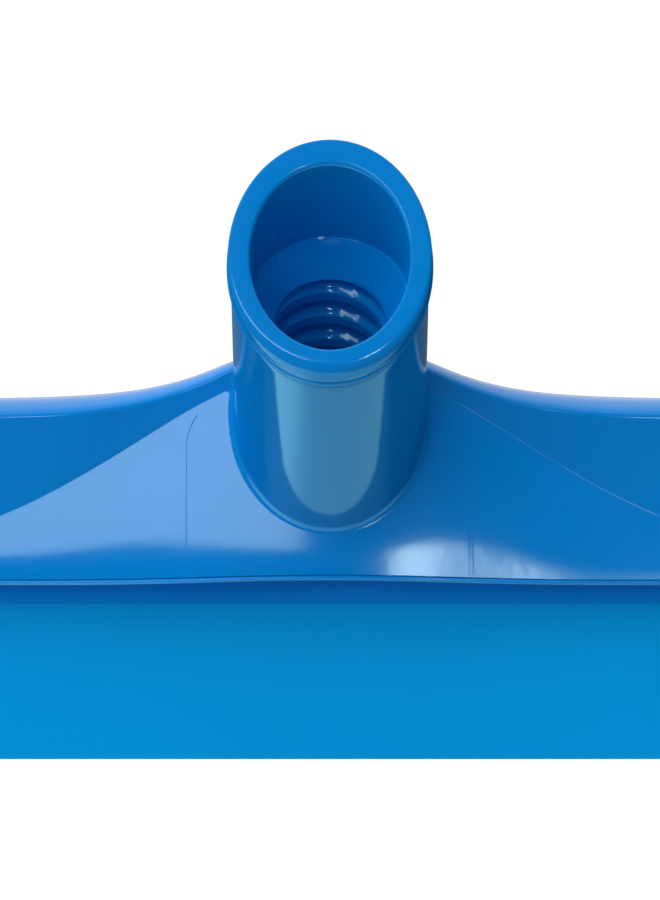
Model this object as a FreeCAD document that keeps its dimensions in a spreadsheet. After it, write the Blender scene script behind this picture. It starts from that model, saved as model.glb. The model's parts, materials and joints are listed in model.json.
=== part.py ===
import FreeCAD, Part

import math
import os

from FreeCAD import Placement, Rotation, Vector

# A floor squeegee head: a rigid wing with an angled, threaded handle socket, a rail that slides in the
# wing's channel, and a soft wiper blade held by the rail. Millimetres. +Z is up, -Y is the front, and
# the origin is the middle of the blade's lower edge.

SIZES = [
    ("frame_length", 392.0, "rigid frame, end to end"),
    ("rail_length", 396.0, "cassette rail, end to end"),
    ("blade_length", 400.0, "wiper blade, end to end"),
    ("lip_depth", 12.0, "middle plane to the lip's front edge, far from the middle"),
    ("lip_bulge", 4.0, "how much further the lip stands out at the middle"),
    ("lip_bulge_reach", 55.0, "how far that bulge reaches to each side"),
    ("lip_height", 41.6, "lip's lower edge above the floor line, far from the middle"),
    ("lip_arch", 1.9, "how much the lip rises at the middle"),
    ("lip_arch_reach", 38.0, "how far the lip's rise reaches to each side"),
    ("lip_land", 1.2, "height of the lip's upright edge"),
    ("facet_slant", 16.3, "lean of the buttress facet from upright, degrees"),
    ("wing_height", 79.4, "top of the outer wing"),
    ("wing_rise", 8.6, "how much higher the wing is beside the tube"),
    ("wing_rise_reach", 15.3, "how fast that rise falls away"),
    ("top_depth", 7.6, "middle plane to the top's front or back edge, far from the middle"),
    ("top_corner", 2.0, "rounded edges of the top"),
    ("top_crown", 18.0, "slope of the crowned top where it meets those edges, degrees"),
    ("crease_height", 49.0, "height that the crease settles to, far from the middle"),
    ("crease_slope", 0.65, "fall of the crease beside the tube"),
    ("crease_reach", 75.2, "where the crease's slope would meet its settled height"),
    ("crease_blend", 12.0, "how gently the crease levels out"),
    ("crease_limit", 4.8, "least height from the crease to the top"),
    ("end_round", 14.0, "length of the rounded end of a wing"),
    ("socket_angle", 50.0, "socket axis above level, degrees"),
    ("mouth_forward", 40.0, "mouth's centre in front of the middle plane"),
    ("mouth_height", 117.4, "mouth's centre above the floor line"),
    ("mouth_slope", 31.0, "angle between the mouth's plane and a square cut, degrees"),
    ("tube_radius", 20.3, "socket tube, outside"),
    ("tube_depth", 66.0, "mouth's centre to the start of the tube's rounded end"),
    ("cap_height", 10.0, "height of the tube's rounded end"),
    ("collar_radius", 21.1, "collar around the mouth"),
    ("collar_width", 3.4, "collar, square to the mouth's plane"),
    ("seat_radius", 16.25, "handle seat, the wide part of the bore"),
    ("seat_depth", 13.0, "mouth's centre to the seat's inner end"),
    ("step_width", 0.6, "small step at the seat's inner end"),
    ("cone_depth", 21.0, "mouth's centre to the cone's inner end"),
    ("thread_radius", 11.5, "thread's inner radius"),
    ("thread_height", 1.6, "height of the thread's ridge"),
    ("thread_pitch", 7.5, "thread's pitch"),
    ("thread_depth", 50.0, "mouth's centre to the bore's blind end"),
    ("neck_width", 7.0, "rail's visible strip, front to back"),
    ("neck_bottom", 35.5, "lower edge of the rail"),
    ("head_width", 13.0, "rail's head in the channel, front to back"),
    ("head_bottom", 45.0, "underside of the rail's head"),
    ("head_top", 50.0, "top of the rail's head"),
    ("running_gap", 0.3, "gap between the rail and the channel"),
    ("blade_root", 5.6, "blade's thickness under the rail"),
    ("blade_tip", 3.2, "blade's thickness at its lower edge"),
    ("bead_radius", 2.3, "bead of the blade's root inside the rail"),
    ("bead_height", 40.5, "centre of the bead above the floor line"),
    ("web_width", 2.4, "web between the bead and the blade"),
]

FLAT_STATIONS = [0, 10, 20, 24, 28, 32, 36, 40, 45, 50, 55, 60, 66, 72, 80, 90, 100, 115, 135, 160]
END_STATIONS = [0.0, 0.35, 0.6, 0.8, 0.92, 1.0]
COVE_POWER = 1.6
RISE_POWER = 1.17
TOP_SETBACK = 0.1
END_HEIGHT = 0.55
END_DEPTH = 0.85
THREAD_FOOT = 0.34
THREAD_CREST = 0.16
THREAD_START = 0.36
THREAD_LEAD = 0.6
THREAD_OVERLAP = 0.4

doc = FreeCAD.newDocument("SqueegeeHead")
os.makedirs("parts", exist_ok=True)

sheet = doc.addObject("Spreadsheet::Sheet", "Sizes")
for row, (alias, value, meaning) in enumerate(SIZES, start=1):
    sheet.set(f"A{row}", meaning)
    sheet.set(f"B{row}", str(value))
    sheet.setAlias(f"B{row}", alias)
doc.recompute()


def size(alias):
    return float(sheet.get(alias))


# --- the wing's outline, worked out from the sheet -------------------------------------------------


def bell(x, reach):
    return math.exp(-((x / reach) ** 2))


def lip_height(x):
    return size("lip_height") + size("lip_arch") * bell(x, size("lip_arch_reach"))


def lip_depth(x):
    return size("lip_depth") + size("lip_bulge") * bell(x, size("lip_bulge_reach"))


def top_height(x):
    beyond = max(abs(x) - size("tube_radius"), 0.0) / size("wing_rise_reach")
    return size("wing_height") + size("wing_rise") * math.exp(-(beyond**RISE_POWER))


def crease_height(x):
    """The ridge between the facet and the cove: steep beside the tube, level far from it."""
    blend = size("crease_blend")
    rise = math.log(1.0 + math.exp((size("crease_reach") - abs(x)) / blend))
    height = size("crease_height") + size("crease_slope") * blend * rise
    return min(height, top_height(x) - size("crease_limit"))


def end_scale(x, keep):
    """1 along the wing, falling along a quarter ellipse over its rounded end."""
    start = size("frame_length") / 2 - size("end_round")
    u = min(max((abs(x) - start) / size("end_round"), 0.0), 1.0)
    return keep + (1 - keep) * math.sqrt(1 - u * u)


def facet_depth(x, z):
    lean = math.tan(math.radians(size("facet_slant")))
    return lip_depth(x) - lean * (z - lip_height(x) - size("lip_land"))


def top_depth(x):
    """Half the top's thickness: less beside the tube, where the facet reaches up to the top."""
    return min(size("top_depth"), facet_depth(x, crease_height(x)) - TOP_SETBACK)


def top_outline(x):
    """The rounded corner's start, middle and end, and the middle of the crowned top."""
    depth = top_depth(x)
    radius = size("top_corner") * depth / size("top_depth")
    crown = math.radians(size("top_crown"))
    flat = depth - radius * (1 - math.sin(crown))
    start = top_height(x) - radius * math.cos(crown) - flat * math.tan(crown / 2)
    turn = math.pi / 2 - crown
    corner = []
    for angle in (0, turn / 2, turn):
        corner.append((depth - radius * (1 - math.cos(angle)), start + radius * math.sin(angle)))
    return corner + [(0, top_height(x))]


def half_outline(x):
    """(depth, height) points from the lip up to the top's corner, as three runs: land, facet and cove."""
    lip = lip_height(x)
    crease = crease_height(x)
    depth, shoulder = top_outline(x)[0]
    land = [(lip_depth(x), lip), (lip_depth(x), lip + size("lip_land"))]
    facet = [land[-1], (facet_depth(x, crease), crease)]
    reach = facet_depth(x, crease) - depth
    cove = []
    for step in range(6):
        u = step / 5
        cove.append((depth + reach * (1 - u) ** COVE_POWER, crease + u * (shoulder - crease)))
    return land, facet, cove


def wing_section(x):
    height_scale = end_scale(x, END_HEIGHT)
    depth_scale = end_scale(x, END_DEPTH)
    lip = lip_height(x)

    def place(depth, height, side):
        return Vector(x, side * depth * depth_scale, lip + (height - lip) * height_scale)

    def run(points, side):
        ends = [place(d, h, side) for d, h in points]
        if len(ends) == 2:
            return Part.makeLine(ends[0], ends[1])
        curve = Part.BSplineCurve()
        curve.interpolate(ends)
        return curve.toShape()

    land, facet, cove = half_outline(x)
    start, middle, end, top = top_outline(x)
    edges = [run(points, -1) for points in (land, facet, cove)]
    edges.append(Part.Arc(place(*start, -1), place(*middle, -1), place(*end, -1)).toShape())
    edges.append(Part.Arc(place(*end, -1), place(*top, 1), place(*end, 1)).toShape())
    edges.append(Part.Arc(place(*end, 1), place(*middle, 1), place(*start, 1)).toShape())
    edges += [run(points[::-1], 1) for points in (cove, facet, land)]
    edges.append(Part.makeLine(place(*land[0], 1), place(*land[0], -1)))
    return Part.Wire(edges)


def stations():
    half = size("frame_length") / 2
    start = half - size("end_round")
    outer = [start + size("end_round") * u for u in END_STATIONS]
    positive = [float(x) for x in FLAT_STATIONS] + outer
    return [-x for x in reversed(positive[1:])] + positive


def make_wing():
    wing = doc.addObject("Part::Feature", "Wing")
    wing.Shape = Part.makeLoft([wing_section(x) for x in stations()], True, True)
    return wing


# --- the socket, in its own tilted frame: +Z out of the mouth, -Y to the front --------------------

SOCKET_TILT = 90.0 - size("socket_angle")
MOUTH = Vector(0, -size("mouth_forward"), size("mouth_height"))
SOCKET = Placement(MOUTH, Rotation(Vector(1, 0, 0), SOCKET_TILT))
MOUTH_PLANE = Placement(MOUTH, Rotation(Vector(1, 0, 0), SOCKET_TILT + size("mouth_slope")))
REACH = 90.0


def cylinder(name, radius, bottom, top):
    """A cylinder on the socket's axis, between two depths measured from the mouth's centre."""
    solid = doc.addObject("Part::Cylinder", name)
    solid.setExpression("Radius", radius)
    solid.setExpression("Height", f"({top}) - ({bottom})")
    doc.recompute()
    depth = solid.evalExpression(bottom)
    solid.Placement = SOCKET * Placement(Vector(0, 0, float(depth)), Rotation())
    return solid


def slab(name, bottom, top):
    """A block square to the mouth's plane, between two distances from it."""
    block = doc.addObject("Part::Box", name)
    block.Length = REACH
    block.Width = REACH
    block.setExpression("Height", f"({top}) - ({bottom})")
    doc.recompute()
    depth = float(block.evalExpression(bottom))
    block.Placement = MOUTH_PLANE * Placement(Vector(-REACH / 2, -REACH / 2, depth), Rotation())
    return block


def combine(kind, name, first, second):
    result = doc.addObject(kind, name)
    result.Base = first
    result.Tool = second
    return result


def make_socket():
    blank = cylinder("TubeBlank", "Sizes.tube_radius", "-Sizes.tube_depth", "16")
    tube = combine("Part::Cut", "Tube", blank, slab("AboveMouth", "0", "40"))
    ring = cylinder("CollarBlank", "Sizes.collar_radius", "-40", "16")
    collar = combine("Part::Common", "Collar", ring, slab("CollarSlab", "-Sizes.collar_width", "0"))
    cap = doc.addObject("Part::Ellipsoid", "RoundedEnd")
    cap.setExpression("Radius1", "Sizes.cap_height")
    cap.setExpression("Radius2", "Sizes.tube_radius")
    cap.setExpression("Radius3", "Sizes.tube_radius")
    cap.Placement = SOCKET * Placement(Vector(0, 0, -size("tube_depth")), Rotation())
    return [tube, collar, cap]


def make_thread_cutter():
    """A round-cornered helical groove around the bore's narrow part, with the core inside it."""
    inner = size("thread_radius")
    pitch = size("thread_pitch")
    bottom = -size("thread_depth")
    length = size("thread_depth") - size("cone_depth")
    core = Part.makeCylinder(inner, length, Vector(0, 0, bottom))
    helix = Part.makeHelix(pitch, length - THREAD_LEAD * pitch, inner)
    foot = THREAD_FOOT * pitch
    crest = THREAD_CREST * pitch
    outer = inner + size("thread_height")
    overlap = inner - THREAD_OVERLAP
    corners = [(overlap, -foot), (outer, -crest), (outer, crest), (overlap, foot)]
    profile = Part.makePolygon([Vector(r, 0, z) for r, z in corners + corners[:1]])
    sweep = Part.BRepOffsetAPI.MakePipeShell(helix)
    sweep.setFrenetMode(True)
    sweep.add(profile)
    sweep.build()
    sweep.makeSolid()
    groove = sweep.shape()
    groove.translate(Vector(0, 0, bottom + THREAD_START * pitch))
    cutter = doc.addObject("Part::Feature", "ThreadCutter")
    cutter.Shape = core.fuse(groove)
    cutter.Placement = SOCKET
    return cutter


def make_bore():
    seat = cylinder("Seat", "Sizes.seat_radius", "-Sizes.seat_depth", "30")
    cone = doc.addObject("Part::Cone", "Cone")
    cone.setExpression("Radius1", "Sizes.thread_radius")
    cone.setExpression("Radius2", "Sizes.seat_radius - Sizes.step_width")
    cone.setExpression("Height", "Sizes.cone_depth - Sizes.seat_depth")
    cone.Placement = SOCKET * Placement(Vector(0, 0, -size("cone_depth")), Rotation())
    return [seat, cone, make_thread_cutter()]


def make_channel():
    """The slot under the wing that the rail slides in: the rail's outline, larger by the running gap."""
    cuts = []
    for name, width, low, high in (
        ("ChannelHead", "head_width", "head_bottom", "head_top"),
        ("ChannelNeck", "neck_width", "neck_bottom", "head_top"),
    ):
        block = doc.addObject("Part::Box", name)
        block.setExpression("Length", "Sizes.frame_length + 20")
        block.setExpression("Width", f"Sizes.{width} + 2 * Sizes.running_gap")
        block.setExpression("Height", f"Sizes.{high} - Sizes.{low} + 2 * Sizes.running_gap")
        corner = Vector(
            -size("frame_length") / 2 - 10,
            -size(width) / 2 - size("running_gap"),
            size(low) - size("running_gap"),
        )
        block.Placement = Placement(corner, Rotation())
        cuts.append(block)
    return cuts


def make_frame():
    outside = doc.addObject("Part::MultiFuse", "Outside")
    outside.Shapes = [make_wing()] + make_socket()
    inside = doc.addObject("Part::MultiFuse", "Inside")
    inside.Shapes = make_bore() + make_channel()
    frame = combine("Part::Cut", "Frame", outside, inside)
    frame.Label = "socket_frame"
    return frame


# --- the rail and the blade: outlines padded along X ----------------------------------------------


def origin_plane(body, role):
    return next(item for item in body.Origin.OriginFeatures if item.Role == role)


def extruded_body(label, outline, length):
    """A body from one closed outline of (y, z) points or arcs, padded to both sides of the middle."""
    body = doc.addObject("PartDesign::Body", label.title().replace("_", ""))
    body.Label = label
    sketch = body.newObject("Sketcher::SketchObject", body.Name + "Outline")
    sketch.AttachmentSupport = (origin_plane(body, "YZ_Plane"), "")
    sketch.MapMode = "FlatFace"
    sketch.addGeometry(outline, False)
    pad = body.newObject("PartDesign::Pad", body.Name + "Pad")
    pad.Profile = sketch
    pad.setExpression("Length", length)
    pad.Midplane = True
    body.Tip = pad
    return body


def lines(points):
    corners = [Vector(y, z, 0) for y, z in points]
    return [Part.LineSegment(a, b) for a, b in zip(corners, corners[1:])]


def blade_shoulder():
    """Height where the bead's circle meets the web."""
    return size("bead_height") - math.sqrt(size("bead_radius") ** 2 - (size("web_width") / 2) ** 2)


def bead_arc():
    centre = Vector(0, size("bead_height"), 0)
    circle = Part.Circle(centre, Vector(0, 0, 1), size("bead_radius"))
    half_web = math.asin(size("web_width") / 2 / size("bead_radius"))
    return Part.ArcOfCircle(circle, half_web - math.pi / 2, 3 * math.pi / 2 - half_web)


def make_blade():
    web = size("web_width") / 2
    root = size("blade_root") / 2
    tip = size("blade_tip") / 2
    bottom = size("neck_bottom")
    left = [(-web, blade_shoulder()), (-web, bottom), (-root, bottom), (-tip, 0)]
    right = [(-y, z) for y, z in reversed(left)]
    return extruded_body("wiper_blade", [bead_arc()] + lines(left + right), "Sizes.blade_length")


def make_rail():
    neck = size("neck_width") / 2
    head = size("head_width") / 2
    web = size("web_width") / 2
    bottom = size("neck_bottom")
    left = [
        (-web, blade_shoulder()),
        (-web, bottom),
        (-neck, bottom),
        (-neck, size("head_bottom")),
        (-head, size("head_bottom")),
        (-head, size("head_top")),
    ]
    right = [(-y, z) for y, z in reversed(left)]
    return extruded_body("cassette_rail", [bead_arc()] + lines(left + right), "Sizes.rail_length")


nodes = [make_frame(), make_rail(), make_blade()]
doc.recompute()

for item in doc.Objects:
    if {"Invalid", "Error"} & set(item.State):
        raise RuntimeError(f"{item.Name} failed: {item.State}")
for node in nodes:
    if node.Shape.isNull() or not node.Shape.isValid():
        raise RuntimeError(f"{node.Label} has no valid shape")
for node in nodes:
    node.Shape.exportStep(f"parts/{node.Label}.step")
    box = node.Shape.BoundBox
    print(node.Label, len(node.Shape.Solids), round(node.Shape.Volume), [round(v, 1) for v in (
        box.XMin, box.YMin, box.ZMin, box.XMax, box.YMax, box.ZMax)])
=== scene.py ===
import json
import math

import bmesh
import bpy
import numpy as np
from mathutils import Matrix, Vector
from mathutils.bvhtree import BVHTree


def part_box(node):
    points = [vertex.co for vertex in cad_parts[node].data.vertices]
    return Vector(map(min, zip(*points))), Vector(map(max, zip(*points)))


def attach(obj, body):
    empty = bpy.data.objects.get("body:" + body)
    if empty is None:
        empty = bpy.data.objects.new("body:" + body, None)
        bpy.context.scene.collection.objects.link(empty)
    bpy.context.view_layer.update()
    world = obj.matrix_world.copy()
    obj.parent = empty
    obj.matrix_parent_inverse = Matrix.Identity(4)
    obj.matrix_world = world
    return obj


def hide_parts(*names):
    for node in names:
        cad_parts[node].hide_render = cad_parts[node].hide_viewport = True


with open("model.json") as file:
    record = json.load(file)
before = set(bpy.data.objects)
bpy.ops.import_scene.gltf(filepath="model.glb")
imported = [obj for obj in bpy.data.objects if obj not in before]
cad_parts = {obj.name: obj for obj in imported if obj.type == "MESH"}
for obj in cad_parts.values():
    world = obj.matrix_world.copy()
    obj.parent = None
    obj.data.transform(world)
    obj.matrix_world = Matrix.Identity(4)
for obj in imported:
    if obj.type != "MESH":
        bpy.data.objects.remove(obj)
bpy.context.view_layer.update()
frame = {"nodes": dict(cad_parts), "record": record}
MM = 0.001

# --- sizes in millimetres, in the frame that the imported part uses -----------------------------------

FRAME_LOW, FRAME_HIGH = [[value / MM for value in corner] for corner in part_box("socket_frame")]
RAIL_HIGH = [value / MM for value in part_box("cassette_rail")[1]]
HALF_LENGTH = FRAME_HIGH[0]

LIP_DEPTH = 12.0
LIP_BULGE = 4.0
LIP_BULGE_REACH = 55.0
LIP_HEIGHT = FRAME_LOW[2]
LIP_ARCH = 1.9
LIP_ARCH_REACH = 38.0
BEAD_RADIUS = 0.55
BEAD_GROOVE = 0.4
BEAD_GROOVE_FLOOR = (0.1, 0.15)
FACET_SLANT = math.radians(16.3)
FACET_START = 1.35
CURL_LOW = 5.4
CURL_LOW_LOSS = 0.75
CURL_LOW_PLACE = 46.0
CURL_LOW_FADE = 4.0
CURL_LEFT = 2.6
CURL_LEFT_PLACE = -40.0
CURL_LEFT_REACH = 17.0
CURL_RIGHT = 4.8
CURL_RIGHT_PLACE = 28.0
CURL_RIGHT_REACH = 16.0
CURL_SLOPE = 0.08
WING_HEIGHT = 79.4
WING_RISE = 8.6
WING_RISE_REACH = 15.3
WING_RISE_POWER = 1.17
TOP_DEPTH = 7.6
TOP_CORNER = 2.0
TOP_CROWN = math.radians(18.0)
TOP_SETBACK = 0.1
TOP_BLEND = 0.3
CREASE_HEIGHT = 49.0
CREASE_SLOPE = 0.65
CREASE_REACH = 75.2
CREASE_BLEND = 12.0
CREASE_LIMIT = 4.8
CREASE_LIMIT_BLEND = 0.8
CREASE_ROUND = 0.06
COVE_POWER = 1.6
END_ROUND = 14.0
END_HEIGHT = 0.55
END_DEPTH = 0.85
RUNNING_GAP = 0.3
NECK_HALF = 3.5 + RUNNING_GAP
HEAD_HALF = RAIL_HIGH[1] + RUNNING_GAP
HEAD_BOTTOM = 45.0 - RUNNING_GAP
HEAD_TOP = RAIL_HIGH[2] + RUNNING_GAP
DIP_REACH = 13.0
DIP_HEIGHT = 75.0
CHANNEL_POINTS = 8
BEND_STEPS = (0.15, 0.3, 0.5, 0.7, 0.85)
MIDDLE_REACH = 84.0

MOUNTS = {mount["name"]: mount for mount in frame["record"]["mounts"]}
AXIS = np.array(MOUNTS["handle_seat"]["axis"])
ACROSS = np.array((1.0, 0.0, 0.0))
FORWARD = np.cross(ACROSS, AXIS)
MOUTH = np.array((0.0, -40.0, 117.4))
MOUTH_SLOPE = math.tan(math.radians(31.0))
TUBE_RADIUS = 20.3
TUBE_DEPTH = 66.0
CAP_HEIGHT = 10.0
COLLAR_RADIUS = 21.1
COLLAR_WIDTH = 3.97
COLLAR_EDGE = 0.9
COLLAR_EDGE_FRONT = 1.7
COLLAR_BEAD = 0.5
COLLAR_WAIST = 0.35
GROOVE_WIDTH = 1.3
GROOVE_DEPTH = 0.55
GROOVE_LEAD = 0.5
SEAT_RADIUS = MOUNTS["handle_seat"]["dims"]["r_mm"]
SEAT_EDGE = 0.7
SEAT_DEPTH = 13.0
STEP_WIDTH = 0.6
STEP_CORNER = 0.15
STEP_DROP = 0.12
CONE_DEPTH = 21.0
THREAD_RADIUS = MOUNTS["handle_thread"]["dims"]["r_mm"]
THREAD_HEIGHT = 1.6
THREAD_PITCH = 7.5
THREAD_PHASE = 0.36
THREAD_DEPTH = 50.0
THREAD_SETBACK = 0.3
THREAD_CREST = 0.16
THREAD_FLANK = 0.18
THREAD_FADE_IN = 2.0
THREAD_FADE_OUT = 1.0
BORE_END_RADIUS = 0.2
FILLET_RADIUS = 1.7
FILLET_STEP = 0.6
FILLET_ROWS = 400
FILLET_SINK = 0.04
FILLET_TAB = 0.5
ROUND_STEPS = 224
WITNESS_LEFT = -30.6
WITNESS_BEND = 71.0
WITNESS_RIGHT = 29.6
WITNESS_PAIR = 0.85
WITNESS_SINK = 0.15

# --- light and camera: brightness, directions, and places in metres ----------------------------------

ROOM_FRONT = 0.0
ROOM_BACK = 0.95
FILL_SIDE = (-0.42, -0.44, 0.79)
FILL_DARK = 0.04
FILL_BRIGHT = 2.95
FILL_REAR = 1.2
TABLE_SIZE = 6.0
TABLE_LEFT = 3.9
TABLE_RIGHT = 2.1
TABLE_CHANGE = (-0.06, -0.02)
TABLE_SPOT = (-0.03, -0.05, 0.0)
TABLE_SPOT_EDGE = (0.11, 0.19)
TABLE_BEYOND = 0.04
TABLE_GLOW = 0.28
TABLE_TINT = (0.38, 0.9, 1.0, 1.0)
CAMERA_ELEVATION = math.radians(12.0)
CAMERA_DISTANCE = 0.9
CAMERA_TARGET = (0.0, 0.0, 0.06855)
CAMERA_LENS = 167.5
LIGHT_TARGET = (0.0, 0.0, 0.07)


# --- mesh helpers -----------------------------------------------------------------------------------


def grid_faces(rows, columns, closed_rows, closed_columns):
    """Quads over a grid of points that is numbered row by row."""
    row = np.arange(rows if closed_rows else rows - 1)[:, None]
    column = np.arange(columns if closed_columns else columns - 1)[None, :]
    next_row = (row + 1) % rows
    next_column = (column + 1) % columns
    corners = [
        row * columns + column,
        row * columns + next_column,
        next_row * columns + next_column,
        next_row * columns + column,
    ]
    return np.stack([np.broadcast_to(c, corners[0].shape) for c in corners], -1).reshape(-1, 4)


class Solid:
    """Points and faces of one mesh, collected from several grids."""

    def __init__(self):
        self.points = []
        self.faces = []
        self.count = 0

    def add(self, points, faces):
        self.points.append(np.asarray(points, float).reshape(-1, 3))
        self.faces += [[int(i) + self.count for i in face] for face in faces]
        self.count += len(self.points[-1])

    def grid(self, points, closed_rows=False, closed_columns=False, flip=False):
        rows, columns = points.shape[:2]
        faces = grid_faces(rows, columns, closed_rows, closed_columns)
        self.add(points, faces[:, ::-1] if flip else faces)

    def build(self, name, sharp_degrees):
        mesh = bpy.data.meshes.new(name)
        points = np.concatenate(self.points) * MM
        mesh.from_pydata(points.tolist(), [], self.faces)
        mesh.validate()
        shape = bmesh.new()
        shape.from_mesh(mesh)
        bmesh.ops.recalc_face_normals(shape, faces=shape.faces)
        shape.to_mesh(mesh)
        shape.free()
        piece = bpy.data.objects.new(name, mesh)
        bpy.context.scene.collection.objects.link(piece)
        mesh.polygons.foreach_set("use_smooth", [True] * len(mesh.polygons))
        mesh.set_sharp_from_angle(angle=math.radians(sharp_degrees))
        return piece


# --- the wing ---------------------------------------------------------------------------------------


def bell(x, reach):
    """1 at the middle, falling smoothly to 0 on both sides."""
    return math.exp(-((x / reach) ** 2))


def soft_min(first, second, blend):
    """The smaller of two values, with a rounded changeover."""
    return first - blend * math.log(1.0 + math.exp((first - second) / blend))


def lip_depth(x):
    return LIP_DEPTH + LIP_BULGE * bell(x, LIP_BULGE_REACH)


def lip_height(x):
    return LIP_HEIGHT + LIP_ARCH * bell(x, LIP_ARCH_REACH)


def top_height(x):
    beyond = max(abs(x) - TUBE_RADIUS, 0.0) / WING_RISE_REACH
    return WING_HEIGHT + WING_RISE * math.exp(-(beyond**WING_RISE_POWER))


def crease_height(x):
    rise = math.log(1.0 + math.exp((CREASE_REACH - abs(x)) / CREASE_BLEND))
    height = CREASE_HEIGHT + CREASE_SLOPE * CREASE_BLEND * rise
    return soft_min(height, top_height(x) - CREASE_LIMIT, CREASE_LIMIT_BLEND)


def facet_depth(x, z):
    """The leaning facet, which curls a little more upright just above the lip."""
    up = z - lip_height(x) - FACET_START
    fade = CURL_LOW_LOSS / (1 + math.exp((CURL_LOW_PLACE - x) / CURL_LOW_FADE))
    left = CURL_LEFT * bell(x - CURL_LEFT_PLACE, CURL_LEFT_REACH)
    right = CURL_RIGHT * bell(x - CURL_RIGHT_PLACE, CURL_RIGHT_REACH)
    curl = CURL_LOW * (1 - fade) + left + right
    inward = CURL_SLOPE * curl / 2 * max(1 - up / curl, 0.0) ** 2
    return lip_depth(x) - math.tan(FACET_SLANT) * up - inward


def end_scale(x, keep):
    """1 along the wing, and down to keep along the quarter round at each end."""
    u = min(max((abs(x) - HALF_LENGTH + END_ROUND) / END_ROUND, 0.0), 1.0)
    return keep + (1 - keep) * math.sqrt(1 - u * u)


def lip_points(x):
    """The lip's rounded bead and the fine groove above it, from the bottom up."""
    depth = lip_depth(x) - BEAD_RADIUS
    height = lip_height(x) + BEAD_RADIUS
    angles = np.radians(np.linspace(-90, 65, 9))
    bead = [(depth + BEAD_RADIUS * math.cos(a), height + BEAD_RADIUS * math.sin(a)) for a in angles]
    groove_height = lip_height(x) + 2 * BEAD_RADIUS
    groove_depth = facet_depth(x, groove_height) - BEAD_GROOVE
    floor_end = (groove_depth + BEAD_GROOVE_FLOOR[0], groove_height + BEAD_GROOVE_FLOOR[1])
    return bead + [(groove_depth, groove_height), floor_end]


def top_points(x, depth):
    """The rounded corner and the crowned top, from the shoulder to the middle."""
    radius = TOP_CORNER * depth / TOP_DEPTH
    flat = depth - radius * (1 - math.sin(TOP_CROWN))
    start = top_height(x) - radius * math.cos(TOP_CROWN) - flat * math.tan(TOP_CROWN / 2)
    points = []
    for angle in np.linspace(0, math.pi / 2 - TOP_CROWN, 9):
        points.append((depth - radius * (1 - math.cos(angle)), start + radius * math.sin(angle)))
    bow = flat / math.sin(TOP_CROWN)
    for angle in np.linspace(TOP_CROWN, 0, 9)[1:]:
        points.append((bow * math.sin(angle), top_height(x) - bow * (1 - math.cos(angle))))
    return points


def crease_points(x, crease, depth, shoulder):
    """The facet, its rounded crease and the upright cove up to the top's shoulder."""
    reach = facet_depth(x, crease) - depth

    def cove(z):
        u = min(max((z - crease) / (shoulder - crease), 0.0), 1.0)
        return depth + reach * (1 - u) ** COVE_POWER

    start = lip_height(x) + FACET_START
    facet = [(facet_depth(x, z), z) for z in np.linspace(start, crease - CREASE_ROUND, 14)]
    first = np.array(facet[-1])
    middle = np.array((facet_depth(x, crease), crease))
    last = np.array((cove(crease + CREASE_ROUND), crease + CREASE_ROUND))
    bend = [(1 - u) ** 2 * first + 2 * u * (1 - u) * middle + u * u * last for u in BEND_STEPS]
    rise = np.linspace(crease + CREASE_ROUND, shoulder, 16)[:-1]
    return facet + [tuple(point) for point in bend] + [(cove(z), z) for z in rise]


def half_profile(x):
    """(depth, height) from the lip's lowest point to the middle of the crowned top."""
    crease = crease_height(x)
    depth = soft_min(TOP_DEPTH, facet_depth(x, crease) - TOP_SETBACK, TOP_BLEND)
    top = top_points(x, depth)
    points = lip_points(x) + crease_points(x, crease, depth, top[0][1]) + top
    # Where the tube crosses the wing, the wing's top stops in the tube's solid end, below its bore.
    if abs(x) < DIP_REACH:
        points = [(d, min(z, DIP_HEIGHT)) for d, z in points]
    return points


def wing_section(x):
    """One closed loop around the wing, with the rail's channel in its underside."""
    lip = lip_height(x)
    deep = end_scale(x, END_DEPTH)
    tall = end_scale(x, END_HEIGHT)
    half = [(d * deep, lip + (z - lip) * tall) for d, z in half_profile(x)]
    outside = [(-d, z) for d, z in half] + [(d, z) for d, z in half[-2::-1]]
    channel = [
        (NECK_HALF, lip),
        (NECK_HALF, HEAD_BOTTOM),
        (HEAD_HALF, HEAD_BOTTOM),
        (HEAD_HALF, HEAD_TOP),
        (-HEAD_HALF, HEAD_TOP),
        (-HEAD_HALF, HEAD_BOTTOM),
        (-NECK_HALF, HEAD_BOTTOM),
        (-NECK_HALF, lip),
    ]
    return [(x, y, z) for y, z in outside + channel]


def stations():
    """Places along the wing for its cross-sections: close together in the middle and at the ends."""
    middle = np.arange(0.0, MIDDLE_REACH, 1.0)
    outer = np.linspace(MIDDLE_REACH, HALF_LENGTH - END_ROUND, 40)
    turn = np.radians(np.linspace(0, 90, 15)[1:])
    ends = HALF_LENGTH - END_ROUND + END_ROUND * np.sin(turn)
    positive = np.concatenate((middle, outer, ends))
    return np.concatenate((-positive[:0:-1], positive))


def end_cap(count):
    """Two faces that close one end of the wing, one on each side of the channel."""
    channel = count - CHANNEL_POINTS
    top = channel // 2
    right = list(range(top, channel + CHANNEL_POINTS // 2)) + [channel + CHANNEL_POINTS // 2]
    left = list(range(channel + CHANNEL_POINTS // 2, count)) + list(range(0, top + 1))
    return [right, left]


def add_wing(solid):
    points = np.array([wing_section(x) for x in stations()])
    rows, columns = points.shape[:2]
    faces = grid_faces(rows, columns, False, True)[:, ::-1].tolist()
    cap = end_cap(columns)
    last = (rows - 1) * columns
    faces += [list(face) for face in cap]
    faces += [[index + last for index in reversed(face)] for face in cap]
    solid.add(points, faces)
    return points, faces


# --- the socket: rows of a turned shape around the tilted axis ----------------------------------------


def around():
    return np.linspace(0, 2 * math.pi, ROUND_STEPS, endpoint=False)


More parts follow.
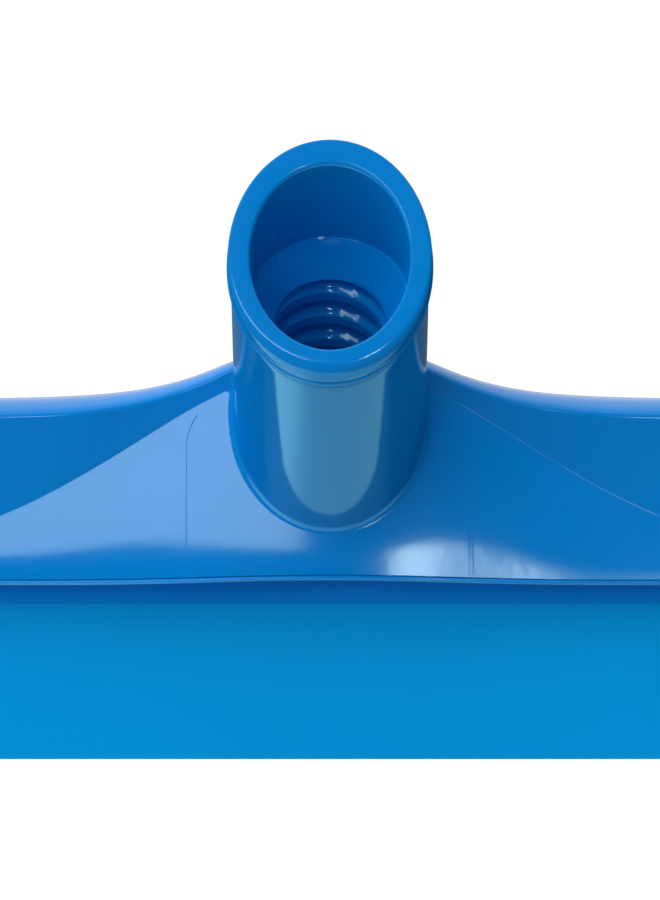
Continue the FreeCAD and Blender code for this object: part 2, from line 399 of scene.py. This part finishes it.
def ring(radius, depth):
    """Points around the axis; radius and depth may be one number or one for each angle."""
    angle = around()
    radius = np.broadcast_to(radius, angle.shape)
    depth = np.broadcast_to(depth, angle.shape)
    side = np.cos(angle)[:, None] * ACROSS + np.sin(angle)[:, None] * FORWARD
    return MOUTH + depth[:, None] * AXIS + radius[:, None] * side


def mouth_depth(radius, below):
    """Depth of a ring that lies parallel to the mouth's sloping plane, some way below it."""
    return -MOUTH_SLOPE * radius * np.sin(around()) - below


def thread_shape(phase):
    """0 on the thread's ridge and 1 in its groove, with soft flanks."""
    away = np.abs((phase + 0.5) % 1.0 - 0.5)
    u = np.clip((away - THREAD_CREST) / THREAD_FLANK, 0.0, 1.0)
    return 1.0 - u * u * (3 - 2 * u)


def thread_ring(depth):
    """One ring of the threaded wall, whose groove fades out towards both ends."""
    turns = (depth + THREAD_DEPTH) / THREAD_PITCH - THREAD_PHASE + around() / (2 * math.pi)
    fade_in = (-depth - CONE_DEPTH) / THREAD_FADE_IN
    fade_out = (depth + THREAD_DEPTH) / THREAD_FADE_OUT
    lead = min(fade_in, fade_out, 1.0)
    return ring(THREAD_RADIUS + THREAD_HEIGHT * max(lead, 0.0) * thread_shape(turns), depth)


def tube_rows():
    """The rounded closed end and the plain tube, up to just below the collar's groove."""
    rows = []
    for angle in np.radians(np.linspace(88, 0, 25)[:-1]):
        rows.append(ring(TUBE_RADIUS * math.cos(angle), -TUBE_DEPTH - CAP_HEIGHT * math.sin(angle)))
    top = mouth_depth(TUBE_RADIUS, COLLAR_WIDTH + GROOVE_WIDTH + GROOVE_LEAD)
    for u in np.linspace(0, 1, 48):
        rows.append(ring(TUBE_RADIUS, -TUBE_DEPTH + u * (TUBE_DEPTH + top)))
    return rows


def socket_rows():
    rows = tube_rows()
    groove = COLLAR_WIDTH + GROOVE_WIDTH
    for u in np.linspace(0.15, 1, 6):
        dip = GROOVE_DEPTH * math.sin(u * math.pi / 2) ** 2
        below = groove + GROOVE_LEAD - u * (GROOVE_WIDTH + GROOVE_LEAD) * 0.8
        rows.append(ring(TUBE_RADIUS - dip, mouth_depth(TUBE_RADIUS, below)))
    for angle in np.radians(np.linspace(-90, 75, 9)):
        radius = COLLAR_RADIUS - COLLAR_BEAD + COLLAR_BEAD * math.cos(angle)
        below = COLLAR_WIDTH - COLLAR_BEAD - COLLAR_BEAD * math.sin(angle)
        rows.append(ring(radius, mouth_depth(radius, below)))
    edge = COLLAR_EDGE + COLLAR_EDGE_FRONT * np.clip(np.sin(around()), 0, 1) ** 1.5
    for angle in np.radians(np.linspace(-8, 90, 14)):
        radius = COLLAR_RADIUS - COLLAR_WAIST * (1 - math.sin(angle)) - edge * (1 - math.cos(angle))
        rows.append(ring(radius, mouth_depth(radius, edge * (1 - math.sin(angle)))))
    for angle in np.radians(np.linspace(90, 0, 10)):
        radius = SEAT_RADIUS + SEAT_EDGE - SEAT_EDGE * math.cos(angle)
        rows.append(ring(radius, mouth_depth(radius, SEAT_EDGE * (1 - math.sin(angle)))))
    for u in np.linspace(0, 1, 14)[1:]:
        start = mouth_depth(SEAT_RADIUS, SEAT_EDGE)
        rows.append(ring(SEAT_RADIUS, start + u * (-SEAT_DEPTH - start)))
    ledge = -SEAT_DEPTH - STEP_DROP
    rows += [ring(SEAT_RADIUS - STEP_CORNER, ledge), ring(SEAT_RADIUS - STEP_WIDTH, ledge)]
    for u in np.linspace(0, 1, 8)[1:]:
        radius = SEAT_RADIUS - STEP_WIDTH - u * (SEAT_RADIUS - STEP_WIDTH - THREAD_RADIUS)
        rows.append(ring(radius, ledge - u * (CONE_DEPTH + ledge)))
    for depth in np.linspace(-CONE_DEPTH - THREAD_SETBACK, -THREAD_DEPTH, 84):
        rows.append(thread_ring(depth))
    rows.append(ring(BORE_END_RADIUS, -THREAD_DEPTH))
    return rows


def add_socket(solid):
    rows = np.array(socket_rows())
    solid.grid(rows, closed_columns=True, flip=True)
    count = len(rows) * ROUND_STEPS
    base = solid.count - count
    first = list(range(base, base + ROUND_STEPS))
    last = list(range(base + count - ROUND_STEPS, base + count))
    solid.faces.append(first)
    solid.faces.append(last[::-1])


# --- the soft corner where the socket grows out of the wing -------------------------------------------


def nearest(tree, point):
    """Signed distance and outward direction from a closed surface."""
    place, normal, _, _ = tree.find_nearest(Vector(point))
    away = point - np.array(place)
    length = float(np.linalg.norm(away))
    sign = 1.0 if np.dot(away, np.array(normal)) >= 0 else -1.0
    return sign * length, sign * away / length


def settle(trees, point):
    """Moves a ball's centre until the ball just touches both the tube and the wing."""
    for _ in range(30):
        gap_tube, out_tube = nearest(trees["tube"], point)
        gap_wing, out_wing = nearest(trees["wing"], point)
        errors = np.array((FILLET_RADIUS - gap_tube, FILLET_RADIUS - gap_wing))
        if np.abs(errors).max() < 1e-4:
            break
        step, *_ = np.linalg.lstsq(np.array((out_tube, out_wing)), errors, rcond=None)
        point = point + step
    return point, out_tube, out_wing


def fillet_path(trees):
    """The rolling ball's centres from the front, round one side of the tube, to the back."""
    start = MOUTH - 0.9 * TUBE_DEPTH * AXIS + (TUBE_RADIUS + FILLET_RADIUS) * FORWARD
    point = settle(trees, start)[0]
    point[0] = 0.0
    path = []
    previous = ACROSS
    while len(path) < FILLET_ROWS:
        point, out_tube, out_wing = settle(trees, point)
        if path and point[0] < 0:
            break
        path.append((point.copy(), out_tube, out_wing))
        along = np.cross(out_tube, out_wing)
        along /= np.linalg.norm(along)
        if np.dot(along, previous) < 0:
            along = -along
        previous = along
        point = point + FILLET_STEP * along
    return path


def fillet_row(centre, out_tube, out_wing):
    """One slice of the corner: an arc between the two touching points, closed inside the material."""
    turn = math.acos(max(min(float(np.dot(out_tube, out_wing)), 1.0), -1.0))
    row = []
    for u in np.linspace(0, 1, 11):
        direction = math.sin((1 - u) * turn) * out_tube + math.sin(u * turn) * out_wing
        row.append(centre - FILLET_RADIUS * direction / math.sin(turn))
    to_wing = out_wing - np.dot(out_wing, out_tube) * out_tube
    to_tube = out_tube - np.dot(out_tube, out_wing) * out_wing
    before = row[0] + FILLET_TAB * to_wing / np.linalg.norm(to_wing) - FILLET_SINK * out_tube
    after = row[-1] + FILLET_TAB * to_tube / np.linalg.norm(to_tube) - FILLET_SINK * out_wing
    inside = centre - 1.35 * FILLET_RADIUS * (out_tube + out_wing)
    return [before] + row + [after, inside]


def add_fillet(solid, trees):
    half = np.array([fillet_row(*step) for step in fillet_path(trees)])
    mirrored = half[-2:0:-1].copy()
    mirrored[:, :, 0] *= -1
    solid.grid(np.concatenate((half, mirrored)), closed_rows=True, closed_columns=True)


def facet_place(x, z):
    """The point of the front facet at a given place along the wing and height."""
    return np.array((x, -facet_depth(x, z), z))


def add_witness(solid, path, width, height):
    """A fine raised line left by the mould on the front facet, along (x, z) points."""
    rows = []
    for x, z in path:
        here = facet_place(x, z)
        out = np.cross(facet_place(x + 0.1, z) - here, facet_place(x, z + 0.1) - here)
        out /= np.linalg.norm(out)
        base = here - WITNESS_SINK * out
        crest = here + height * out
        half = 0.3 * width * ACROSS
        rows.append([base - width * ACROSS, crest - half, crest + half, base + width * ACROSS])
    first = solid.count
    solid.grid(np.array(rows), closed_columns=True)
    last = solid.count - 4
    solid.faces.append([first + i for i in (3, 2, 1, 0)])
    solid.faces.append([last + i for i in range(4)])


def add_witness_lines(solid):
    """A line to the left of the tube that bends in at its top, and a short pair to the right."""
    left = [(WITNESS_LEFT, z) for z in np.linspace(50.5, WITNESS_BEND, 12)]
    for u in np.linspace(0.1, 1, 10):
        left.append((WITNESS_LEFT + 2.4 * u * u, WITNESS_BEND + 6.4 * u))
    add_witness(solid, left, 0.2, 0.1)
    low = lip_height(WITNESS_RIGHT) + FACET_START + 0.3
    for x in (WITNESS_RIGHT, WITNESS_RIGHT + WITNESS_PAIR):
        add_witness(solid, [(x, z) for z in np.linspace(low, 54.0, 10)], 0.14, 0.09)


def make_frame_shell():
    solid = Solid()
    points, faces = add_wing(solid)
    tube = np.array(tube_rows())
    tube_faces = grid_faces(len(tube), ROUND_STEPS, False, True)[:, ::-1].tolist()
    trees = {
        "wing": BVHTree.FromPolygons(points.reshape(-1, 3).tolist(), faces),
        "tube": BVHTree.FromPolygons(tube.reshape(-1, 3).tolist(), tube_faces),
    }
    add_socket(solid)
    add_fillet(solid, trees)
    add_witness_lines(solid)
    piece = solid.build("frame_shell", 38)
    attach(piece, "frame")
    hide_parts("socket_frame")
    return piece


# --- materials --------------------------------------------------------------------------------------


class Nodes:
    """A small helper for building one material's nodes."""

    def __init__(self, name):
        self.material = bpy.data.materials.new(name)
        self.material.use_nodes = True
        self.tree = self.material.node_tree
        self.shader = self.tree.nodes["Principled BSDF"]

    def new(self, kind, **inputs):
        node = self.tree.nodes.new(kind)
        for key, value in inputs.items():
            node.inputs[key.replace("_", " ")].default_value = value
        return node

    def link(self, source, target):
        self.tree.links.new(source, target)


def plastic(name, color, dark, roughness, rough_spread, bump, gloss):
    """Moulded plastic: faint flow shading, slightly uneven gloss and a very fine skin."""
    nodes = Nodes(name)
    place = nodes.tree.nodes.new("ShaderNodeTexCoord").outputs["Object"]
    flow = nodes.new("ShaderNodeTexNoise", Scale=26.0, Detail=3.0, Roughness=0.5, Distortion=0.6)
    nodes.link(place, flow.inputs["Vector"])
    mix = nodes.tree.nodes.new("ShaderNodeMix")
    mix.data_type = "RGBA"
    mix.inputs["A"].default_value = (*dark, 1)
    mix.inputs["B"].default_value = (*color, 1)
    nodes.link(flow.outputs["Fac"], mix.inputs["Factor"])
    nodes.link(mix.outputs["Result"], nodes.shader.inputs["Base Color"])
    cloud = nodes.new("ShaderNodeTexNoise", Scale=90.0, Detail=4.0, Roughness=0.6)
    nodes.link(place, cloud.inputs["Vector"])
    spread = nodes.tree.nodes.new("ShaderNodeMapRange")
    spread.inputs["To Min"].default_value = roughness - rough_spread
    spread.inputs["To Max"].default_value = roughness + rough_spread
    nodes.link(cloud.outputs["Fac"], spread.inputs["Value"])
    nodes.link(spread.outputs["Result"], nodes.shader.inputs["Roughness"])
    skin = nodes.new("ShaderNodeTexNoise", Scale=420.0, Detail=2.0, Roughness=0.5)
    nodes.link(place, skin.inputs["Vector"])
    bump_node = nodes.new("ShaderNodeBump", Strength=bump, Distance=0.0004)
    nodes.link(skin.outputs["Fac"], bump_node.inputs["Height"])
    nodes.link(bump_node.outputs["Normal"], nodes.shader.inputs["Normal"])
    nodes.shader.inputs["IOR"].default_value = 1.49
    nodes.shader.inputs["Specular IOR Level"].default_value = gloss
    nodes.shader.inputs["Specular Tint"].default_value = (0.75, 1.0, 1.0, 1)
    return nodes.material


def paint(piece, material):
    piece.data.materials.clear()
    piece.data.materials.append(material)


def soften_edges(piece, width):
    """Rounds a straight-sided moulding's long edges without changing its mesh."""
    bevel = piece.modifiers.new("soft_edges", "BEVEL")
    bevel.width = width * MM
    bevel.segments = 3
    bevel.limit_method = "ANGLE"
    bevel.angle_limit = math.radians(50)
    bevel.harden_normals = True


# --- floor, lights and camera -------------------------------------------------------------------------


def ray_mix(tree, seen, glossy, diffuse):
    """A value for what the camera sees, one for mirror reflections and one for soft light."""
    path = tree.nodes.new("ShaderNodeLightPath")
    first = tree.nodes.new("ShaderNodeMix")
    second = tree.nodes.new("ShaderNodeMix")
    for node, socket, value in ((first, "A", diffuse), (first, "B", glossy), (second, "B", seen)):
        if hasattr(value, "is_output"):
            tree.links.new(value, node.inputs[socket])
        else:
            node.inputs[socket].default_value = value
    tree.links.new(path.outputs["Is Glossy Ray"], first.inputs["Factor"])
    tree.links.new(path.outputs["Is Camera Ray"], second.inputs["Factor"])
    tree.links.new(first.outputs["Result"], second.inputs["A"])
    return second.outputs["Result"]


def ramp(tree, value, start, end, low, high):
    """A value that goes smoothly from low to high while another one goes from start to end."""
    node = tree.nodes.new("ShaderNodeMapRange")
    node.interpolation_type = "SMOOTHSTEP"
    node.inputs["From Min"].default_value = start
    node.inputs["From Max"].default_value = end
    node.inputs["To Min"].default_value = low
    node.inputs["To Max"].default_value = high
    tree.links.new(value, node.inputs["Value"])
    return node.outputs["Result"]


def measure(tree, operation, coordinate, vector):
    """A coordinate's part along a vector, or its distance from a point."""
    node = tree.nodes.new("ShaderNodeVectorMath")
    node.operation = operation
    node.inputs[1].default_value = vector
    tree.links.new(coordinate, node.inputs[0])
    return node.outputs["Value"]


def combined(tree, operation, first, second):
    """The result of one operation on two values."""
    node = tree.nodes.new("ShaderNodeMath")
    node.operation = operation
    tree.links.new(first, node.inputs[0])
    tree.links.new(second, node.inputs[1])
    return node.outputs["Value"]


def studio_world():
    """Seen in gloss: a white room behind, a dark one in front. Soft light: upper left front, and rear."""
    world = bpy.data.worlds.new("studio")
    bpy.context.scene.world = world
    world.use_nodes = True
    tree = world.node_tree
    background = tree.nodes["Background"]
    background.inputs["Color"].default_value = (1, 1, 1, 1)
    direction = tree.nodes.new("ShaderNodeTexCoord").outputs["Generated"]
    overhead = measure(tree, "DOT_PRODUCT", direction, (0.0, 0.6, 0.8))
    glossy = ramp(tree, overhead, 0.1, 0.6, ROOM_FRONT, ROOM_BACK)
    key = ramp(tree, measure(tree, "DOT_PRODUCT", direction, FILL_SIDE), 0.6, 0.97, FILL_DARK, FILL_BRIGHT)
    rear = ramp(tree, measure(tree, "DOT_PRODUCT", direction, (0.0, 1.0, 0.0)), 0.1, 0.9, 0.0, FILL_REAR)
    diffuse = combined(tree, "ADD", key, rear)
    tree.links.new(ray_mix(tree, 1.0, glossy, diffuse), background.inputs["Strength"])


def softbox(name, place, width, height, power):
    """A soft rectangular light that faces the object's middle."""
    light = bpy.data.lights.new(name, "AREA")
    light.shape = "RECTANGLE"
    light.size = width
    light.size_y = height
    light.energy = power
    lamp = bpy.data.objects.new(name, light)
    bpy.context.scene.collection.objects.link(lamp)
    lamp.location = place
    lamp.rotation_euler = (Vector(LIGHT_TARGET) - Vector(place)).to_track_quat("-Z", "Y").to_euler()


def make_floor():
    """A pale table that the camera sees as even white; mirror reflections see a bright patch on it."""
    solid = Solid()
    edge = TABLE_SIZE / MM
    solid.grid(np.array([[(x, y, 0.0) for x in (-edge, edge)] for y in (-edge, edge)]))
    floor = solid.build("floor", 30)
    nodes = Nodes("white_table")
    nodes.shader.inputs["Base Color"].default_value = (0.05, 0.05, 0.05, 1)
    nodes.shader.inputs["Roughness"].default_value = 0.9
    nodes.shader.inputs["Specular IOR Level"].default_value = 0.0
    place = nodes.tree.nodes.new("ShaderNodeTexCoord").outputs["Object"]
    sideways = measure(nodes.tree, "DOT_PRODUCT", place, (1.0, 0.0, 0.0))
    sheen = ramp(nodes.tree, sideways, *TABLE_CHANGE, TABLE_LEFT, TABLE_RIGHT)
    spread = measure(nodes.tree, "DISTANCE", place, TABLE_SPOT)
    near = ramp(nodes.tree, spread, *TABLE_SPOT_EDGE, 1.0, TABLE_BEYOND)
    glow = ray_mix(nodes.tree, 1.0, combined(nodes.tree, "MULTIPLY", sheen, near), TABLE_GLOW)
    nodes.link(glow, nodes.shader.inputs["Emission Strength"])
    path = nodes.tree.nodes.new("ShaderNodeLightPath")
    tint = nodes.tree.nodes.new("ShaderNodeMix")
    tint.data_type = "RGBA"
    tint.inputs["A"].default_value = (1, 1, 1, 1)
    tint.inputs["B"].default_value = TABLE_TINT
    nodes.link(path.outputs["Is Glossy Ray"], tint.inputs["Factor"])
    nodes.link(tint.outputs["Result"], nodes.shader.inputs["Emission Color"])
    paint(floor, nodes.material)


def make_camera():
    bpy.context.scene.view_settings.view_transform = "Standard"
    camera = bpy.data.objects.new("camera", bpy.data.cameras.new("camera"))
    bpy.context.scene.collection.objects.link(camera)
    away = Vector((0, -math.cos(CAMERA_ELEVATION), math.sin(CAMERA_ELEVATION)))
    camera.location = Vector(CAMERA_TARGET) + CAMERA_DISTANCE * away
    camera.rotation_euler = (-away).to_track_quat("-Z", "Y").to_euler()
    camera.data.sensor_fit = "VERTICAL"
    camera.data.sensor_height = 36.0
    camera.data.lens = CAMERA_LENS
    bpy.context.scene.camera = camera


shell = make_frame_shell()
frame_look = {"roughness": 0.1, "rough_spread": 0.02, "bump": 0.02, "gloss": 0.5}
paint(shell, plastic("frame_plastic", (0.0, 0.212, 0.64), (0.0, 0.198, 0.61), **frame_look))
rail = frame["nodes"]["cassette_rail"]
soften_edges(rail, 0.35)
rail_look = {"roughness": 0.38, "rough_spread": 0.04, "bump": 0.06, "gloss": 0.08}
paint(rail, plastic("rail_plastic", (0.0, 0.26, 0.8), (0.0, 0.245, 0.76), **rail_look))
blade = frame["nodes"]["wiper_blade"]
soften_edges(blade, 0.3)
blade_look = {"roughness": 0.45, "rough_spread": 0.05, "bump": 0.12, "gloss": 0.08}
paint(blade, plastic("blade_rubber", (0.0, 0.36, 0.85), (0.0, 0.34, 0.81), **blade_look))

studio_world()
make_floor()
make_camera()
softbox("left_softbox", (-0.46, -1.85, 0.787), width=0.76, height=0.24, power=3.0)
softbox("right_softbox", (0.239, -1.6, 0.43), width=0.096, height=0.19, power=0.9)
